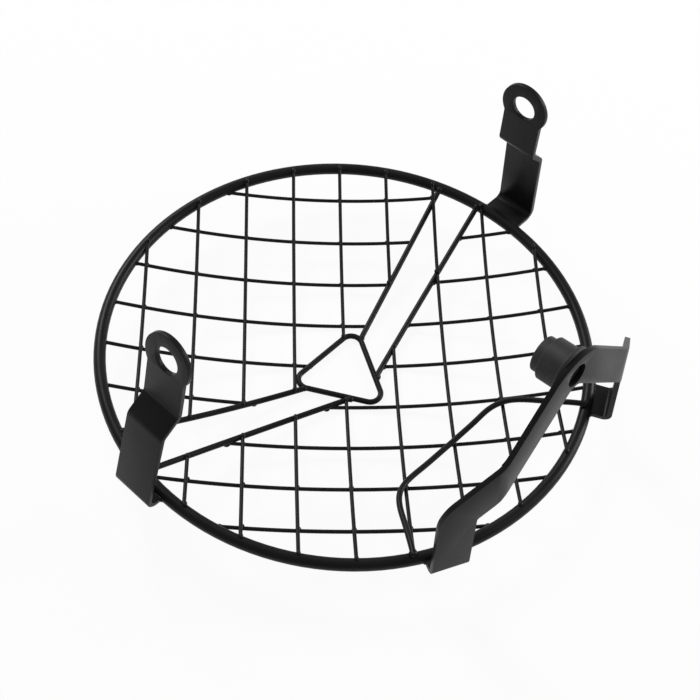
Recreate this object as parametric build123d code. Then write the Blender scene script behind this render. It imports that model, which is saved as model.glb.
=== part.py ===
from build123d import *
import os
from math import atan, cos, radians, sin, sqrt, tan

# Motorcycle headlight guard: a round steel ring with a domed wire mesh, two side straps
# and one bridge bracket with a rubber boss.
# Units: mm. The origin is the ring's centre. Z is the ring's axis, the dome hangs below the
# ring, the brackets stand above it. X is across the motorcycle, the bridge is on the -Y side.
# The guard is bent and welded by hand, so the two sides differ a little.

# Ring
RING_R = 97.5          # centreline radius
RING_D = 4.8           # rod diameter

# Dome: the mesh lies on one sphere
DOME_R = 295.0
DOME_SEAT = 1.28       # height of the sphere above the ring's plane, at the ring
WIRE_D = 1.5
PITCH = 20.5
MESH_TURN = 45         # degrees from X at which the inner layer runs
EDGE_GAP = 10.0        # no wire runs nearer to the ring than this
ROD_D = 2.3            # slot rods, centre triangle and arch rod
END_IN = 0.9           # wires and rods end this far inside the ring's centreline
SHORTEST = 8.0         # shorter ends of wire are left out
BITE = 0.5             # how far a piece reaches into the rod that it is welded on

# Centre triangle
TRI_SIDE = 40.6
TRI_X = -2.7
TRI_TOP_Y = 9.8
TRI_CORNER_R = 4.5
TRI_SEAT_R = 15.0      # the flat triangle has the dome's height at this radius

# Slot rods: share of the triangle's side where each starts, its bow towards +Y,
# and the angle round the ring where it ends
SLOT_RODS = {
    "right_upper": (0.15, 0.7, 17.6),
    "right_lower": (0.65, 1.1, 6.5),
    "left_upper": (0.19, 0.6, 161.4),
    "left_lower": (0.65, 2.5, 173.1),
}
SLOT_STEPS = 12        # straight spans in the outline of a slot's cutter

# Arch rod: angles of its ends round the ring, and its two shoulders (X, Y)
ARCH_LEFT_END = -123.0
ARCH_RIGHT_END = -63.3
ARCH_SHOULDERS = [(-34.0, -57.0), (27.5, -58.5)]
ARCH_CORNER_R = 16.0
ARCH_STEPS = 16        # spans of the curve that lifts its plan onto the dome

# Sheet metal
SHEET = 2.0
BEND_R = 2.5           # inside bend radius

# Side straps: middle of the sheet in X and Z, seen from the heel
STRAP_W = 17.5
STRAP_KNEE = (-8.3, 36.0)
STRAP_SHOULDER = (-16.0, 41.8)
STRAP_EYE = (-19.2, 63.2)
EYE_D = 21.0
EYE_HOLE_D = 10.5

# Side straps: heel outside the ring's centreline, place in Y, degrees leant further out
RIGHT_STRAP = (12.1, -0.2, 6.3)
LEFT_STRAP = (8.4, 7.9, -2.8)

# Bridge bracket, in X seen from its peak
BRIDGE_X = 2.9         # X of the peak
BRIDGE_LEAN = 0.1      # inward lean, Y per unit of height
BRIDGE_REACH = 4.4     # ring's centreline to the outer face of the middle at Z = 0
BRIDGE_FOLD_X = 34.5   # where the middle folds into the legs
BRIDGE_TURN = 26.3     # degrees each leg is turned towards the ring
BRIDGE_FOLD_R = 9.0
BRIDGE_LEG_X = 50.0    # middle of the leg
BRIDGE_CORNER_Z = 31.0 # middle of the corner between leg and flank
BRIDGE_PEAK_Z = 75.8   # where the middles of the flanks meet
FLANK_W = 13.5
LEG_W = 14.4
PEAK_IN_R = 5.0
CORNER_IN_R = 2.0
BRIDGE_BEND_R = 1.5
BRIDGE_HOLE_D = 9.0
BRIDGE_HOLE_Z = 70.9

# Rubber boss
BOSS_FLANGE_D = 18.5
BOSS_FLANGE_T = 1.6
BOSS_BODY_D = 16.0
BOSS_BODY_L = 7.8
BOSS_CAP_D = 13.2
BOSS_CAP_L = 3.2
BOSS_BORE_D = 8.4

THROUGH = 200.0        # cutters are this long, to pass the whole part

dome_z = DOME_SEAT + sqrt(DOME_R**2 - RING_R**2)

os.makedirs("parts", exist_ok=True)


def on_dome(x, y, radius=DOME_R):
    return Vector(x, y, dome_z - sqrt(radius**2 - x**2 - y**2))


def on_ring(degrees):
    return (RING_R * cos(radians(degrees)), RING_R * sin(radians(degrees)))


def rod_along(path, diameter):
    start = Plane(origin=path @ 0, z_dir=path % 0)
    return sweep(start * Circle(diameter / 2), path=path)


def save(shape, name):
    shape.label = name
    export_step(shape, f"parts/{name}.step")


# Ring
ring = Solid.make_torus(RING_R, RING_D / 2)
inside_ring = Cylinder(RING_R - END_IN, THROUGH)

# Centre triangle, bent flat
tri_drop = TRI_SIDE * sqrt(3) / 2
tri_low = Vector(TRI_X, TRI_TOP_Y - tri_drop)
tri_corners = {
    "right": Vector(TRI_X + TRI_SIDE / 2, TRI_TOP_Y),
    "left": Vector(TRI_X - TRI_SIDE / 2, TRI_TOP_Y),
}
tri_outline = [(p.X, p.Y) for p in (tri_corners["left"], tri_low, tri_corners["right"])]
tri_face = Polygon(*tri_outline, align=None)
tri_face = fillet(tri_face.vertices(), TRI_CORNER_R)
tri_z = on_dome(0, TRI_SEAT_R).Z
tri_wire = Pos(0, 0, tri_z) * tri_face.faces()[0].outer_wire()
triangle = rod_along(tri_wire, ROD_D)
tri_opening = extrude(tri_face, THROUGH, both=True)

# Slot rods
slot_paths = {}
for name, (share, bow, degrees) in SLOT_RODS.items():
    corner = tri_corners[name.split("_")[0]]
    start = corner + (tri_low - corner) * share
    end = Vector(*on_ring(degrees))
    centre = (start + end) / 2 + Vector(0, bow)
    slot_paths[name] = ThreePointArc(*[on_dome(p.X, p.Y) for p in (start, centre, end)])

slot_rods = {}
for name, path in slot_paths.items():
    rod = (rod_along(path, ROD_D) & inside_ring) - ring - triangle
    slot_rods[name] = rod.solids().sort_by(SortBy.VOLUME)[-1]

# Open slots between each pair of rods, as cutters
slot_openings = []
for side in ("right", "left"):
    upper, lower = (slot_paths[f"{side}_{name}"] for name in ("upper", "lower"))
    steps = [i / SLOT_STEPS for i in range(SLOT_STEPS + 1)]
    outline = [upper @ t for t in steps] + [lower @ t for t in reversed(steps)]
    plan = make_face(Polyline(*[(p.X, p.Y) for p in outline], close=True))
    slot_openings.append(extrude(plan, THROUGH, both=True))

# Arch rod, lying on the inner layer of the mesh and on the ring
arch_plan = FilletPolyline(
    on_ring(ARCH_LEFT_END), *ARCH_SHOULDERS, on_ring(ARCH_RIGHT_END), radius=ARCH_CORNER_R
)
arch_layer = DOME_R - WIRE_D - ROD_D / 2
arch_top = (RING_D + ROD_D) / 2 - BITE
arch_points = []
for i in range(ARCH_STEPS + 1):
    p = arch_plan @ (i / ARCH_STEPS)
    lifted = on_dome(p.X, p.Y, arch_layer)
    arch_points.append((p.X, p.Y, min(lifted.Z, arch_top)))
arch_rod = rod_along(Spline(*arch_points), ROD_D) - ring
arch_feet = arch_rod - Cylinder(RING_R - 2 * RING_D, THROUGH)

# Mesh wires: the inner layer runs one way, the outer layer the other way
mesh = {}
cutters = [ring, triangle, tri_opening, *slot_rods.values(), *slot_openings, arch_feet]
shortest = SHORTEST * Circle(WIRE_D / 2).area
rows = int((RING_R - EDGE_GAP) / PITCH)
for layer, radius, turn in (
    ("inner", DOME_R - WIRE_D / 2, MESH_TURN),
    ("outer", DOME_R + WIRE_D / 2, MESH_TURN - 90),
):
    along = Vector(cos(radians(turn)), sin(radians(turn)))
    across = Vector(along.Y, -along.X)
    for row in range(-rows, rows + 1):
        middle = across * row * PITCH
        half = along * sqrt(RING_R**2 - middle.length**2)
        path = ThreePointArc(*[on_dome(p.X, p.Y, radius) for p in (middle - half, middle, middle + half)])
        pieces = (rod_along(path, WIRE_D) & inside_ring) - cutters
        pieces = [s for s in pieces.solids() if s.volume > shortest]
        pieces.sort(key=lambda s: s.center().X)
        for count, piece in enumerate(pieces):
            tail = f"_{'ab'[count]}" if len(pieces) > 1 else ""
            mesh[f"mesh_{layer}_{row + rows + 1}{tail}"] = piece

# Side straps, both made on the +X side, then the left one is mirrored
straps = {}
for name, (heel, place, lean) in (("right", RIGHT_STRAP), ("left", LEFT_STRAP)):
    heel_point = Vector(RING_R + heel, place, 0)
    leant = Pos(*heel_point) * Rot(0, lean, 0)
    upper = [(leant * Pos(x, 0, z)).position for x, z in (STRAP_KNEE, STRAP_SHOULDER, STRAP_EYE)]
    strap_path = FilletPolyline(
        Vector(RING_R - BITE, place, 0), heel_point, *upper, radius=BEND_R + SHEET / 2
    )
    section = Plane(origin=strap_path @ 0, x_dir=(0, 1, 0), z_dir=strap_path % 0)
    strap = sweep(section * Rectangle(STRAP_W, SHEET), path=strap_path)
    run = upper[2] - upper[1]
    eye_plane = Plane(origin=upper[2], x_dir=(0, 1, 0), z_dir=(run.Z, 0, -run.X))
    strap += eye_plane * Cylinder(EYE_D / 2, SHEET)
    strap -= eye_plane * Cylinder(EYE_HOLE_D / 2, 3 * SHEET)
    strap -= ring
    straps[name] = strap if name == "right" else strap.mirror(Plane.YZ)

# Bridge bracket: a leaning ribbon folded in plan, cut to the arch shape. It is made with its
# peak at X = 0, then moved.
bridge_y = -RING_R - BRIDGE_REACH
turn = radians(BRIDGE_TURN)
ribbon_t = SHEET * sqrt(1 + BRIDGE_LEAN**2)


def ribbon_line(inset, radius):
    fold_x = BRIDGE_FOLD_X - inset * tan(turn / 2)
    fold_y = bridge_y + inset
    end_x = BRIDGE_LEG_X + LEG_W
    end_y = fold_y + (end_x - fold_x) * tan(turn)
    return FilletPolyline(
        (-end_x, end_y), (-fold_x, fold_y), (fold_x, fold_y), (end_x, end_y), radius=radius
    )


outer_line = ribbon_line(0, BRIDGE_FOLD_R + ribbon_t)
inner_line = ribbon_line(ribbon_t, BRIDGE_FOLD_R)
ribbon_face = make_face(
    Curve()
    + outer_line
    + inner_line
    + Line(outer_line @ 0, inner_line @ 0)
    + Line(outer_line @ 1, inner_line @ 1)
)
foot_top = SHEET / 2
ribbon_foot = Pos(0, BRIDGE_LEAN * foot_top, foot_top) * ribbon_face
ribbon = extrude(ribbon_foot, THROUGH, dir=(0, BRIDGE_LEAN, 1))

# Outline of the bridge's middle, in its front view
slope = (BRIDGE_PEAK_Z - BRIDGE_CORNER_Z) / BRIDGE_LEG_X
rise = FLANK_W / 2 * sqrt(1 + slope**2)
top_z = BRIDGE_PEAK_Z + rise
low_z = BRIDGE_PEAK_Z - rise
past_x = BRIDGE_FOLD_X + FLANK_W
middle_face = Polygon(
    (0, top_z),
    (past_x, top_z - slope * past_x),
    (past_x, low_z - slope * past_x),
    (0, low_z),
    (-past_x, low_z - slope * past_x),
    (-past_x, top_z - slope * past_x),
    align=None,
)
for tip_z, radius in ((top_z, PEAK_IN_R + FLANK_W), (low_z, PEAK_IN_R)):
    tip = middle_face.vertices().sort_by_distance(Vector(0, tip_z))[0]
    middle_face = fillet(tip, radius)
front_view = Plane(origin=(0, 0, 0), x_dir=(1, 0, 0), z_dir=(0, -1, 0))
middle_cut = extrude(front_view * middle_face, THROUGH, both=True)
middle_cut &= Box(2 * BRIDGE_FOLD_X, 2 * THROUGH, 2 * THROUGH)

# Outline of the right-hand leg, on its own turned plane
leg_s = (BRIDGE_LEG_X - BRIDGE_FOLD_X) / cos(turn)
shear = BRIDGE_LEAN * sin(turn)


def flank_edge(s, tip_z):
    # Height at which the flank's edge from tip_z at the peak is s along the leg's plane
    x = (s + BRIDGE_FOLD_X / cos(turn) - shear * tip_z) / (1 / cos(turn) - shear * slope)
    return tip_z - slope * x


peak_s = -BRIDGE_FOLD_X / cos(turn)
out_s = leg_s + LEG_W / 2
in_s = leg_s - LEG_W / 2
out_corner = Vector(out_s, flank_edge(out_s, top_z))
in_corner = Vector(in_s, flank_edge(in_s, low_z))
leg_face = Polygon(
    (peak_s + shear * top_z, top_z),
    (out_corner.X, out_corner.Y),
    (out_s, 0),
    (in_s, 0),
    (in_corner.X, in_corner.Y),
    (peak_s + shear * low_z, low_z),
    align=None,
)
for corner, radius in ((out_corner, CORNER_IN_R + FLANK_W), (in_corner, CORNER_IN_R)):
    tip = leg_face.vertices().sort_by_distance(corner)[0]
    leg_face = fillet(tip, radius)
leg_view = Plane(
    origin=(BRIDGE_FOLD_X, bridge_y, 0),
    x_dir=(cos(turn), sin(turn), 0),
    z_dir=(sin(turn), -cos(turn), 0),
)
leg_cut = extrude(leg_view * leg_face, THROUGH / 4, both=True)
leg_cut &= Pos(BRIDGE_FOLD_X + THROUGH / 2, 0, 0) * Box(THROUGH, 2 * THROUGH, 2 * THROUGH)
bridge = ribbon & (middle_cut + leg_cut + leg_cut.mirror(Plane.YZ))

# Bridge feet, bent in from the legs and cut round where they meet the ring
foot_lean = BRIDGE_LEAN * cos(turn) * foot_top
foot_end = THROUGH / 4
foot_view = Plane(
    origin=(BRIDGE_FOLD_X, bridge_y, 0), x_dir=(-sin(turn), cos(turn), 0), z_dir=(cos(turn), sin(turn), 0)
)
foot_face = Polygon(
    (-foot_lean, -foot_top),
    (foot_end, -foot_top),
    (foot_end, foot_top),
    (foot_lean, foot_top),
    align=None,
)
foot = foot_view * Pos(0, 0, leg_s) * extrude(foot_face, LEG_W / 2, both=True)
foot_trim = Pos(-BRIDGE_X, 0, 0) * Cylinder(RING_R, 4 * SHEET)
bridge = bridge + (foot - foot_trim) + (foot.mirror(Plane.YZ) - foot_trim)
outer_bend = (foot_view * Pos(-foot_lean, -foot_top, leg_s)).position
inner_bend = (foot_view * Pos(foot_lean + ribbon_t, foot_top, leg_s)).position
for bend, radius in ((inner_bend, BRIDGE_BEND_R), (outer_bend, BRIDGE_BEND_R + SHEET)):
    for spot in (bend, Vector(-bend.X, bend.Y, bend.Z)):
        edge = [e for e in bridge.edges() if (e.center() - spot).length < BITE]
        bridge = fillet(edge, radius)
bridge = Pos(BRIDGE_X, 0, 0) * bridge

# Hole at the bridge's peak, square to its leaning middle
lean = atan(BRIDGE_LEAN)
hole_plane = Plane(
    origin=(BRIDGE_X, bridge_y + BRIDGE_LEAN * BRIDGE_HOLE_Z, BRIDGE_HOLE_Z),
    x_dir=(1, 0, 0),
    z_dir=(0, cos(lean), -sin(lean)),
)
bridge -= hole_plane * Cylinder(BRIDGE_HOLE_D / 2, 10 * SHEET)
bridge -= ring

# Rubber boss in three steps, seated on the bridge
boss = Part()
boss_z = SHEET
for diameter, length in (
    (BOSS_FLANGE_D, BOSS_FLANGE_T),
    (BOSS_BODY_D, BOSS_BODY_L),
    (BOSS_CAP_D, BOSS_CAP_L),
):
    boss += hole_plane * Pos(0, 0, boss_z + length / 2) * Cylinder(diameter / 2, length)
    boss_z += length
boss -= hole_plane * Cylinder(BOSS_BORE_D / 2, THROUGH)

# One file for each piece
save(ring, "ring")
save(triangle, "triangle")
for name, rod in slot_rods.items():
    save(rod, f"slot_rod_{name}")
save(arch_rod, "arch_rod")
for name, wire in mesh.items():
    save(wire, name)
for name, strap in straps.items():
    save(strap, f"strap_{name}")
save(bridge, "bridge")
save(boss, "boss")
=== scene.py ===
"""Finish, welds, edges and stage of a welded headlight guard."""

import math
import random

import bmesh
import bpy
from mathutils import Matrix, Quaternion, Vector


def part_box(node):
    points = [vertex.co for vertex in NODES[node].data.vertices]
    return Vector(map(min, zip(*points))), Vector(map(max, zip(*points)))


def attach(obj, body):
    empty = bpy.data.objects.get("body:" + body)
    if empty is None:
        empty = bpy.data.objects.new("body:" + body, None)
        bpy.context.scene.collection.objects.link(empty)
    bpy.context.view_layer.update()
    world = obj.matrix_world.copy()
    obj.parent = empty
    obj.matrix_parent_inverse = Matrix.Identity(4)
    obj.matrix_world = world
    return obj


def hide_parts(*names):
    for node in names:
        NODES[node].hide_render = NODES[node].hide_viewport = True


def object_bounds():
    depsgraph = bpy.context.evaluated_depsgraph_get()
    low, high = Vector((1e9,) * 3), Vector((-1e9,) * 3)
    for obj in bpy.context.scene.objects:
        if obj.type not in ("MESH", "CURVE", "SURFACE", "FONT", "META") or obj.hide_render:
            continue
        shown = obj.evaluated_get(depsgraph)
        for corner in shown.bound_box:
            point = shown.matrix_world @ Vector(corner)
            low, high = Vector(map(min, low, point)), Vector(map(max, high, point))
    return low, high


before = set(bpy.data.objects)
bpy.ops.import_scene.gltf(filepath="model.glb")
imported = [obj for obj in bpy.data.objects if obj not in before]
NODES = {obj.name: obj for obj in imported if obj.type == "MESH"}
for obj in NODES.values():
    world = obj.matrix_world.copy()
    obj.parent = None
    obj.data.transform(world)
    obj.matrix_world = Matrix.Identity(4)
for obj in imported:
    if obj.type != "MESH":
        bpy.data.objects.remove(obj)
CAD_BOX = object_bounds()

bl_info = {
    "name": "Headlight guard",
    "version": (1, 0, 0),
    "blender": (4, 5, 0),
    "location": "View3D > Sidebar > Guard",
    "description": "Dresses a welded wire headlight guard and sets its stage",
    "category": "Object",
}

BODY = "root"
STRIPS = ("strap_right", "strap_left", "bridge")
RODS = tuple(name for name in NODES if name.startswith("slot_rod"))
INNER_WIRES = tuple(name for name in NODES if name.startswith("mesh_inner"))
OUTER_WIRES = tuple(name for name in NODES if name.startswith("mesh_outer"))
MM = 0.001

# Meshes of the softened copies
SAME_POINT = 0.002 * MM
FLAT_ANGLE = math.radians(0.6)
BEVEL_SEGMENTS = 3

# Weld beads: half length, half width and half height as shares of the bead's radius
WIRE_BEAD = (1.3, 0.95, 0.85)
ROD_BEAD = (1.2, 1, 0.8)
NUGGET = (1, 1, 0.8)
SEAM_BEAD = (1.1, 1, 0.7)
BEAD_SPREAD = (0.9, 1.12)
END_REACH = 2.6 * MM  # vertices this near a wire's tip belong to its end
INNER_LIFT = 0.35     # a bead's height over its wire's end, in radii
OUTER_LIFT = -0.2
BEAD_BACK = 0.5       # how far a bead's middle lies past its wire's end, in radii
SEAM_STEP = 0.9       # between two beads of a seam, in radii
SEAM_HEIGHT = 0.9     # of a seam over the ring's plane, in radii
SEAM_REACH = 0.45     # of a seam from the ring's centreline, in rod diameters
FOOT_BAND = 1.5 * MM  # a bracket's foot lies this near the ring's plane

# Lamps: name, place, width in metres and power in watts
LAMPS = (
    ("key", (0.25, 1.0, 0.85), 0.5, 8.5),
    ("side", (1.0, -0.6, 0.38), 0.6, 9.5),
)


def middle(name):
    low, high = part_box(name)
    return (low + high) / 2


RING_Z = middle("ring").z
RING_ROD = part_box("ring")[1].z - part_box("ring")[0].z
RING_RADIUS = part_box("ring")[1].x - RING_ROD / 2


class CoatSettings(bpy.types.PropertyGroup):
    colour: bpy.props.FloatVectorProperty(
        name="Coat colour", description="Colour of the powder coat", subtype="COLOR",
        default=(0.0085, 0.009, 0.0085),
    )
    worn_colour: bpy.props.FloatVectorProperty(
        name="Dusty colour", description="Colour where dust dulls the coat", subtype="COLOR",
        default=(0.0145, 0.015, 0.0145),
    )
    roughness: bpy.props.FloatProperty(
        name="Roughness", description="Roughness of the clean coat", default=0.34,
        min=0, max=1, subtype="FACTOR",
    )
    sheen: bpy.props.FloatProperty(
        name="Sheen", description="Specular level of the coat", default=0.16,
        min=0, max=1, subtype="FACTOR",
    )
    peel_size: bpy.props.FloatProperty(
        name="Peel size", description="Size of the coat's orange-peel cells", default=1.3 * MM, unit="LENGTH"
    )
    peel_depth: bpy.props.FloatProperty(
        name="Peel depth", description="Depth of the orange peel", default=0.09 * MM, unit="LENGTH"
    )
    dust_size: bpy.props.FloatProperty(
        name="Dust size", description="Size of the dusty patches", default=18 * MM, unit="LENGTH"
    )
    grain_size: bpy.props.FloatProperty(
        name="Grain size", description="Size of the coat's grain", default=0.45 * MM, unit="LENGTH"
    )
    grain_depth: bpy.props.FloatProperty(
        name="Grain depth", description="Depth of the coat's grain", default=0.03 * MM, unit="LENGTH"
    )
    ripple_size: bpy.props.FloatProperty(
        name="Ripple size", description="Size of the ripples on weld beads", default=0.9 * MM, unit="LENGTH"
    )


class RubberSettings(bpy.types.PropertyGroup):
    colour: bpy.props.FloatVectorProperty(
        name="Rubber colour", description="Colour of the boss", subtype="COLOR", default=(0.013, 0.013, 0.013)
    )
    roughness: bpy.props.FloatProperty(
        name="Roughness", description="Roughness of the rubber", default=0.62,
        min=0, max=1, subtype="FACTOR",
    )
    bloom_size: bpy.props.FloatProperty(
        name="Bloom size", description="Size of the chalky patches", default=7 * MM, unit="LENGTH"
    )
    bloom_gain: bpy.props.FloatProperty(
        name="Bloom gain", description="How much paler the chalky patches are", default=1.9
    )
    grain_size: bpy.props.FloatProperty(
        name="Grain size", description="Size of the mould's texture", default=0.35 * MM, unit="LENGTH"
    )
    grain_depth: bpy.props.FloatProperty(
        name="Grain depth", description="Depth of the mould's texture", default=0.05 * MM, unit="LENGTH"
    )
    edge: bpy.props.FloatProperty(
        name="Edge", description="Rounding of the moulded edges", default=0.5 * MM, unit="LENGTH"
    )


class EdgeSettings(bpy.types.PropertyGroup):
    edge: bpy.props.FloatProperty(
        name="Edge", description="Rounding of the sheet's cut edges", default=0.3 * MM, unit="LENGTH"
    )
    sharp: bpy.props.FloatProperty(
        name="Sharp from", description="Edges that turn more than this are rounded",
        default=math.radians(38), subtype="ANGLE",
    )


class WeldSettings(bpy.types.PropertyGroup):
    wire_bead: bpy.props.FloatProperty(
        name="Wire bead", description="Radius of the bead at a wire's end", default=1.0 * MM, unit="LENGTH"
    )
    rod_bead: bpy.props.FloatProperty(
        name="Rod bead", description="Radius of the bead at a rod's end", default=1.45 * MM, unit="LENGTH"
    )
    nugget: bpy.props.FloatProperty(
        name="Nugget", description="Radius of the weld where two wires cross",
        default=0.95 * MM, unit="LENGTH",
    )
    seam_bead: bpy.props.FloatProperty(
        name="Seam bead", description="Radius of the seam at a bracket's foot",
        default=0.7 * MM, unit="LENGTH",
    )
    dome_radius: bpy.props.FloatProperty(
        name="Dome radius", description="Radius of the sphere that the mesh lies on",
        default=295 * MM, unit="LENGTH",
    )
    dome_depth: bpy.props.FloatProperty(
        name="Dome depth", description="Ring's middle down to the dome's middle",
        default=15.3 * MM, unit="LENGTH",
    )


class StageSettings(bpy.types.PropertyGroup):
    azimuth: bpy.props.FloatProperty(
        name="Azimuth", description="Where the camera stands round the guard",
        default=math.radians(-51.852), subtype="ANGLE",
    )
    elevation: bpy.props.FloatProperty(
        name="Elevation", description="Camera's height above the ring's plane",
        default=math.radians(53.387), subtype="ANGLE",
    )
    roll: bpy.props.FloatProperty(
        name="Roll", description="Turn of the camera about its own view",
        default=math.radians(5.954), subtype="ANGLE",
    )
    distance: bpy.props.FloatProperty(
        name="Distance", description="Camera to the middle of the ring", default=0.49426, unit="LENGTH"
    )
    aim: bpy.props.FloatVectorProperty(
        name="Aim", description="Point of the ring's plane at the picture's middle", subtype="TRANSLATION",
        default=(-0.00133, -0.00299, RING_Z),
    )
    lens: bpy.props.FloatProperty(
        name="Lens", description="Focal length on a 36 mm sensor", default=63.71, min=1
    )
    floor: bpy.props.FloatProperty(
        name="Floor", description="Width of the floor", default=6.0, unit="LENGTH"
    )
    glow: bpy.props.FloatProperty(
        name="Floor glow", description="Share of the floor's white that shadows leave", default=0.92,
        min=0, max=1, subtype="FACTOR",
    )
    bounce: bpy.props.FloatProperty(
        name="Floor shade", description="Shade of the floor in the light it throws back", default=0.86,
        min=0, max=1, subtype="FACTOR",
    )
    sky: bpy.props.FloatProperty(
        name="Sky", description="Strength of the light from all round", default=0.34, min=0
    )


class Signal:
    """A socket of a material. Arithmetic on it adds Math nodes."""

    def __init__(self, paint, socket):
        self.paint = paint
        self.socket = socket

    def reckon(self, operation, other):
        return self.paint.add("ShaderNodeMath", {"operation": operation}, {0: self, 1: other})

    def __add__(self, other):
        return self.reckon("ADD", other)

    __radd__ = __add__

    def __sub__(self, other):
        return self.reckon("SUBTRACT", other)

    def __mul__(self, other):
        return self.reckon("MULTIPLY", other)

    def highest(self, other):
        return self.reckon("MAXIMUM", other)


class Paint:
    """The node tree of one material."""

    def __init__(self, name):
        self.material = bpy.data.materials.new(name)
        self.material.use_nodes = True
        self.tree = self.material.node_tree
        self.tree.nodes.clear()

    def add(self, kind, settings=None, sockets=None, output=0):
        node = self.tree.nodes.new(kind)
        for key, value in (settings or {}).items():
            setattr(node, key, value)
        for key, value in (sockets or {}).items():
            if isinstance(value, Signal):
                self.tree.links.new(value.socket, node.inputs[key])
            else:
                node.inputs[key].default_value = value
        return Signal(self, node.outputs[output]) if node.outputs else None

    def noise(self, place, size, detail=3.0, rough=0.5):
        """Noise from 0 to 1 whose lumps are about size metres across."""
        return self.add(
            "ShaderNodeTexNoise",
            {"noise_dimensions": "3D"},
            {"Vector": place, "Scale": 1 / size, "Detail": detail, "Roughness": rough},
        )

    def ramp(self, value, low, high):
        """0 below low, 1 above high."""
        return self.add("ShaderNodeMapRange", {}, {"Value": value, "From Min": low, "From Max": high})

    def mix(self, share, first, second):
        return self.add(
            "ShaderNodeMix",
            {"data_type": "RGBA"},
            {"Factor": share, 6: first, 7: second},
            output=2,
        )

    def bump(self, height, depth, strength, under=None):
        sockets = {"Height": height, "Distance": depth, "Strength": strength}
        if under:
            sockets["Normal"] = under
        return self.add("ShaderNodeBump", {}, sockets)

    def finish(self, shader):
        self.add("ShaderNodeOutputMaterial", {}, {"Surface": shader})
        return self.material


def rgba(colour):
    return (*colour, 1)


def powder_coat(name, settings, lumpy=0.0):
    """Satin black powder coat: fine orange peel, uneven gloss and a little dust."""
    paint = Paint(name)
    place = paint.add("ShaderNodeTexCoord", output=3)
    cloud = paint.noise(place, settings.dust_size, detail=4)
    grain = paint.noise(place, settings.grain_size, detail=2)
    peel = paint.noise(place, settings.peel_size, detail=2, rough=0.4)
    dust = paint.ramp(cloud, 0.42, 0.78) * 0.7 + paint.ramp(grain, 0.6, 0.8) * 0.3
    colour = paint.mix(dust, rgba(settings.colour), rgba(settings.worn_colour))
    gloss = settings.roughness + dust * 0.14 + grain * 0.05
    skin = paint.bump(peel, settings.peel_depth, 0.35)
    skin = paint.bump(grain, settings.grain_depth, 0.3, under=skin)
    if lumpy:
        ripple = paint.noise(place, settings.ripple_size, detail=3)
        skin = paint.bump(ripple, lumpy, 0.6, under=skin)
    shader = paint.add(
        "ShaderNodeBsdfPrincipled",
        {},
        {"Base Color": colour, "Roughness": gloss, "Normal": skin, "Specular IOR Level": settings.sheen},
    )
    return paint.finish(shader)


def moulded_rubber(name, settings):
    """Matt black rubber with a fine mould texture and a chalky bloom."""
    paint = Paint(name)
    place = paint.add("ShaderNodeTexCoord", output=3)
    bloom = paint.ramp(paint.noise(place, settings.bloom_size, detail=4), 0.4, 0.75)
    grain = paint.noise(place, settings.grain_size, detail=2)
    pale = tuple(min(1, part * settings.bloom_gain) for part in settings.colour)
    colour = paint.mix(bloom, rgba(settings.colour), rgba(pale))
    gloss = settings.roughness + bloom * 0.12 - grain * 0.08
    skin = paint.bump(grain, settings.grain_depth, 0.4)
    shader = paint.add(
        "ShaderNodeBsdfPrincipled", {}, {"Base Color": colour, "Roughness": gloss, "Normal": skin}
    )
    return paint.finish(shader)


def shown_white(name, shade, glow):
    """A pale matt floor, seen directly and in reflections as white with a faint shadow."""
    paint = Paint(name)
    matt = paint.add("ShaderNodeBsdfDiffuse", {}, {"Color": (shade, shade, shade, 1)})
    faint = paint.add("ShaderNodeBsdfDiffuse", {}, {"Color": (1 - glow, 1 - glow, 1 - glow, 1)})
    light = paint.add("ShaderNodeEmission", {}, {"Color": (1, 1, 1, 1), "Strength": glow})
    white = paint.add("ShaderNodeAddShader", {}, {0: faint, 1: light})
    rays = ("Is Camera Ray", "Is Glossy Ray", "Is Transmission Ray")
    camera, glossy, through = (paint.add("ShaderNodeLightPath", output=ray) for ray in rays)
    seen = camera.highest(glossy).highest(through)
    return paint.finish(paint.add("ShaderNodeMixShader", {}, {"Fac": seen, 1: matt, 2: white}))


def paint_over(piece, material):
    piece.data.materials.clear()
    piece.data.materials.append(material)


def new_piece(name, mesh_maker, material):
    """An object at the origin from a finished bmesh, riding on the guard."""
    mesh = bpy.data.meshes.new(name)
    mesh_maker.to_mesh(mesh)
    mesh_maker.free()
    piece = bpy.data.objects.new(name, mesh)
    bpy.context.scene.collection.objects.link(piece)
    for face in mesh.polygons:
        face.use_smooth = True
    paint_over(piece, material)
    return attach(piece, BODY)


def softened_copy(node, edge, sharp):
    """The node's solid with its sharp edges rounded, as a bmesh."""
    shape = bmesh.new()
    shape.from_mesh(NODES[node].data)
    bmesh.ops.remove_doubles(shape, verts=shape.verts, dist=SAME_POINT)
    bmesh.ops.dissolve_limit(
        shape, angle_limit=FLAT_ANGLE, verts=shape.verts, edges=shape.edges, use_dissolve_boundaries=False
    )
    corners = [e for e in shape.edges if len(e.link_faces) == 2 and e.calc_face_angle() > sharp]
    bmesh.ops.bevel(
        shape, geom=corners, offset=edge, affect="EDGES", segments=BEVEL_SEGMENTS, profile=0.5,
        material=-1, clamp_overlap=True,
    )
    return shape


def far_ends(name):
    """The two ends of a wire or rod, each with the direction back along it."""
    points = [v.co.copy() for v in NODES[name].data.vertices]
    centre = sum(points, Vector()) / len(points)
    first = max(points, key=lambda p: (p - centre).length)
    second = max(points, key=lambda p: (p - first).length)
    span = (second - first).length
    ends = []
    for tip, other in ((first, second), (second, first)):
        near = [p for p in points if (p - tip).length < END_REACH]
        end = sum(near, Vector()) / len(near)
        ends.append((end, (other - tip) / span))
    return ends


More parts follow.
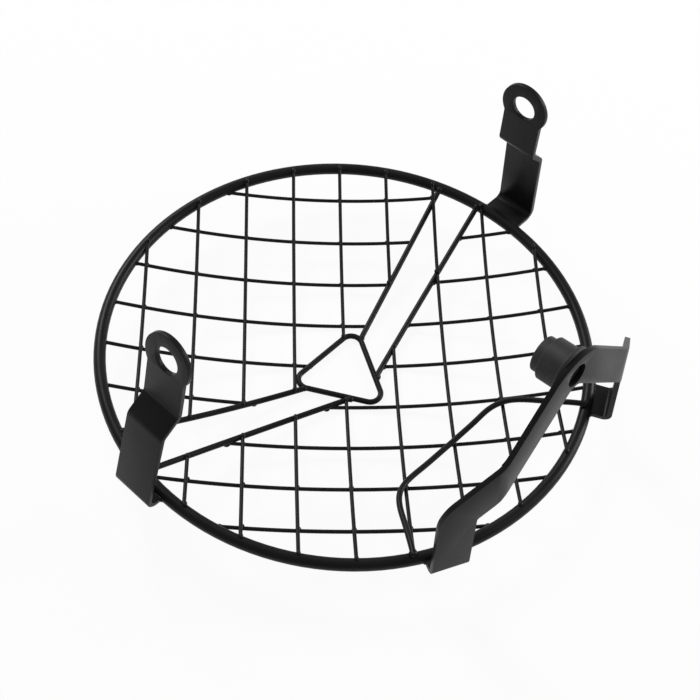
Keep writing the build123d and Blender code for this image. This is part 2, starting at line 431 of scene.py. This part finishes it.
def add_bead(shape, place, along, radius, shares, dice):
    """One rounded blob of weld metal, as long, wide and high as its shares of the radius."""
    side = along.cross(Vector((0, 0, 1))).normalized()
    up = side.cross(along).normalized()
    turn = Matrix((along, side, up)).transposed().to_4x4()
    stretch = Matrix.Diagonal((*[radius * share * dice.uniform(*BEAD_SPREAD) for share in shares], 1))
    bmesh.ops.create_icosphere(
        shape, subdivisions=2, radius=1, matrix=Matrix.Translation(place) @ turn @ stretch
    )


class GuardStep:
    """What the guard's operators have in common."""

    bl_options = {"REGISTER", "UNDO"}

    def execute(self, context):
        self.make(context.scene)
        return {"FINISHED"}


class GUARD_OT_coat_wires(GuardStep, bpy.types.Operator):
    """Coat the ring, the rods, the triangle and the mesh wires"""

    bl_idname = "guard.coat_wires"
    bl_label = "Coat wires and rods"

    def make(self, scene):
        coat = powder_coat("powder_coat", scene.guard_coat)
        for name, node in NODES.items():
            if name not in STRIPS and name != "boss":
                paint_over(node, coat)
                for face in node.data.polygons:
                    face.use_smooth = True


class GUARD_OT_dress_strips(GuardStep, bpy.types.Operator):
    """Round the cut edges of the straps and the bridge and coat them"""

    bl_idname = "guard.dress_strips"
    bl_label = "Dress strip brackets"

    def make(self, scene):
        edges = scene.guard_edges
        coat = powder_coat("powder_coat_strip", scene.guard_coat)
        for name in STRIPS:
            piece = new_piece(f"{name}_strip", softened_copy(name, edges.edge, edges.sharp), coat)
            piece.data.set_sharp_from_angle(angle=edges.sharp)
            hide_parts(name)


class GUARD_OT_dress_boss(GuardStep, bpy.types.Operator):
    """Round the moulded edges of the boss and give it its rubber"""

    bl_idname = "guard.dress_boss"
    bl_label = "Dress rubber boss"

    def make(self, scene):
        rubber = moulded_rubber("boss_rubber", scene.guard_rubber)
        shape = softened_copy("boss", scene.guard_rubber.edge, scene.guard_edges.sharp)
        piece = new_piece("boss_moulding", shape, rubber)
        piece.data.set_sharp_from_angle(angle=scene.guard_edges.sharp)
        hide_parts("boss")


class GUARD_OT_weld_wire_ends(GuardStep, bpy.types.Operator):
    """Put a small bead where each wire ends on a rod or on the ring"""

    bl_idname = "guard.weld_wire_ends"
    bl_label = "Weld wire ends"

    def make(self, scene):
        radius = scene.guard_welds.wire_bead
        dice = random.Random(4)
        shape = bmesh.new()
        for names, lift in ((INNER_WIRES, INNER_LIFT), (OUTER_WIRES, OUTER_LIFT)):
            for name in names:
                for end, back in far_ends(name):
                    place = end - back * radius * BEAD_BACK + Vector((0, 0, lift * radius))
                    add_bead(shape, place, back, radius, WIRE_BEAD, dice)
        coat = powder_coat("powder_coat_weld", scene.guard_coat, lumpy=0.12 * MM)
        new_piece("weld_wire_ends", shape, coat)


class GUARD_OT_weld_crossings(GuardStep, bpy.types.Operator):
    """Join the two layers of the mesh with a nugget at each crossing"""

    bl_idname = "guard.weld_crossings"
    bl_label = "Weld crossings"

    def make(self, scene):
        welds = scene.guard_welds
        dice = random.Random(9)
        shape = bmesh.new()
        for inner in INNER_WIRES:
            across = middle(inner).x - middle(inner).y
            for outer in OUTER_WIRES:
                along = middle(outer).x + middle(outer).y
                spot = Vector(((along + across) / 2, (along - across) / 2, 0))
                if all(self.reaches(name, spot) for name in (inner, outer)):
                    spot.z = self.dome_height(welds, spot)
                    flat = Vector((spot.y, -spot.x, 0)).normalized() if spot.xy.length else Vector((1, 0, 0))
                    add_bead(shape, spot, flat, welds.nugget, NUGGET, dice)
        coat = powder_coat("powder_coat_nugget", scene.guard_coat, lumpy=0.06 * MM)
        new_piece("weld_crossings", shape, coat)

    def reaches(self, name, spot):
        low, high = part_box(name)
        return low.x < spot.x < high.x and low.y < spot.y < high.y

    def dome_height(self, welds, spot):
        centre = RING_Z + welds.dome_radius - welds.dome_depth
        return centre - math.sqrt(welds.dome_radius**2 - spot.xy.length_squared)


class GUARD_OT_weld_rod_ends(GuardStep, bpy.types.Operator):
    """Put a bead where each rod ends on the triangle or on the ring"""

    bl_idname = "guard.weld_rod_ends"
    bl_label = "Weld rod ends"

    def make(self, scene):
        radius = scene.guard_welds.rod_bead
        dice = random.Random(2)
        shape = bmesh.new()
        for name in (*RODS, "arch_rod"):
            for end, back in far_ends(name):
                add_bead(shape, end, back, radius, ROD_BEAD, dice)
        coat = powder_coat("powder_coat_rod_weld", scene.guard_coat, lumpy=0.16 * MM)
        new_piece("weld_rod_ends", shape, coat)


class GUARD_OT_weld_feet(GuardStep, bpy.types.Operator):
    """Run a rippled seam along each bracket's foot where it meets the ring"""

    bl_idname = "guard.weld_feet"
    bl_label = "Weld bracket feet"

    def make(self, scene):
        bead = scene.guard_welds.seam_bead
        dice = random.Random(7)
        shape = bmesh.new()
        reach = RING_RADIUS + RING_ROD * SEAM_REACH
        for name, side in (("strap_right", 1), ("strap_left", -1), ("bridge", 1), ("bridge", -1)):
            low, high = self.foot_span(name, side)
            steps = max(3, round((high - low) * RING_RADIUS / (bead * SEAM_STEP)))
            for face in (1, -1):
                for step in range(steps + 1):
                    angle = low + (high - low) * step / steps
                    height = RING_Z + face * bead * SEAM_HEIGHT
                    place = Vector((math.cos(angle) * reach, math.sin(angle) * reach, height))
                    along = Vector((-math.sin(angle), math.cos(angle), 0))
                    add_bead(shape, place, along, bead, SEAM_BEAD, dice)
        coat = powder_coat("powder_coat_seam", scene.guard_coat, lumpy=0.2 * MM)
        new_piece("weld_feet", shape, coat)

    def foot_span(self, name, side):
        """First and last angle round the ring of a foot's seam."""
        near = [
            v.co for v in NODES[name].data.vertices
            if abs(v.co.z - RING_Z) < FOOT_BAND and v.co.x * side > 0
            and v.co.xy.length < RING_RADIUS + RING_ROD
        ]
        angles = [math.atan2(p.y, p.x) % (2 * math.pi) for p in near]
        if name == "strap_right":
            angles = [a if a < math.pi else a - 2 * math.pi for a in angles]
        return min(angles), max(angles)


class GUARD_OT_set_stage(GuardStep, bpy.types.Operator):
    """Lay the floor, hang the lamps and place the camera"""

    bl_idname = "guard.set_stage"
    bl_label = "Set the stage"

    def make(self, scene):
        stage = scene.guard_stage
        self.lay_floor(stage)
        self.light(scene, stage)
        self.place_camera(scene, stage)
        scene.view_settings.view_transform = "Standard"

    def lay_floor(self, stage):
        shape = bmesh.new()
        under = Matrix.Translation((0, 0, CAD_BOX[0].z))
        bmesh.ops.create_grid(shape, x_segments=1, y_segments=1, size=stage.floor / 2, matrix=under)
        mesh = bpy.data.meshes.new("floor")
        shape.to_mesh(mesh)
        shape.free()
        floor = bpy.data.objects.new("floor", mesh)
        floor.data.materials.append(shown_white("floor_white", stage.bounce, stage.glow))
        bpy.context.scene.collection.objects.link(floor)

    def light(self, scene, stage):
        world = bpy.data.worlds.new("studio")
        world.use_nodes = True
        sky = world.node_tree.nodes["Background"]
        sky.inputs["Color"].default_value = (1, 1, 1, 1)
        sky.inputs["Strength"].default_value = stage.sky
        scene.world = world
        for lamp in LAMPS:
            self.hang_lamp(*lamp)

    def hang_lamp(self, name, place, size, power):
        lamp = bpy.data.lights.new(name, "AREA")
        lamp.size = size
        lamp.energy = power
        holder = bpy.data.objects.new(name, lamp)
        holder.location = place
        aim = Vector((0, 0, RING_Z)) - holder.location
        holder.rotation_euler = aim.to_track_quat("-Z", "Y").to_euler()
        bpy.context.scene.collection.objects.link(holder)

    def place_camera(self, scene, stage):
        lens = bpy.data.cameras.new("camera")
        lens.sensor_width = 36
        lens.lens = stage.lens
        lens.clip_start = 0.01
        camera = bpy.data.objects.new("camera", lens)
        back = Vector((
            math.sin(stage.azimuth) * math.cos(stage.elevation),
            -math.cos(stage.azimuth) * math.cos(stage.elevation),
            math.sin(stage.elevation),
        ))
        camera.location = Vector(stage.aim) + back * stage.distance
        camera.rotation_mode = "QUATERNION"
        level = (-back).to_track_quat("-Z", "Y")
        camera.rotation_quaternion = level @ Quaternion((0, 0, 1), stage.roll)
        scene.collection.objects.link(camera)
        scene.camera = camera


class GUARD_PT_panel(bpy.types.Panel):
    """Steps that dress the guard"""

    bl_idname = "GUARD_PT_panel"
    bl_label = "Headlight guard"
    bl_space_type = "VIEW_3D"
    bl_region_type = "UI"
    bl_category = "Guard"

    def draw(self, context):
        for step in STEPS:
            self.layout.operator(step.bl_idname)
        for holder in SETTINGS:
            box = self.layout.box()
            for key in SETTINGS[holder].__annotations__:
                box.prop(getattr(context.scene, holder), key)


STEPS = (
    GUARD_OT_coat_wires,
    GUARD_OT_dress_strips,
    GUARD_OT_dress_boss,
    GUARD_OT_weld_wire_ends,
    GUARD_OT_weld_crossings,
    GUARD_OT_weld_rod_ends,
    GUARD_OT_weld_feet,
    GUARD_OT_set_stage,
)
SETTINGS = {
    "guard_coat": CoatSettings,
    "guard_rubber": RubberSettings,
    "guard_edges": EdgeSettings,
    "guard_welds": WeldSettings,
    "guard_stage": StageSettings,
}


def register():
    for holder, settings in SETTINGS.items():
        bpy.utils.register_class(settings)
        setattr(bpy.types.Scene, holder, bpy.props.PointerProperty(type=settings))
    for shown in (*STEPS, GUARD_PT_panel):
        bpy.utils.register_class(shown)


def unregister():
    for shown in (GUARD_PT_panel, *reversed(STEPS)):
        bpy.utils.unregister_class(shown)
    for holder, settings in SETTINGS.items():
        delattr(bpy.types.Scene, holder)
        bpy.utils.unregister_class(settings)


def main():
    register()
    for step in STEPS:
        family, name = step.bl_idname.split(".")
        getattr(getattr(bpy.ops, family), name)()


if __name__ == "__main__":
    main()
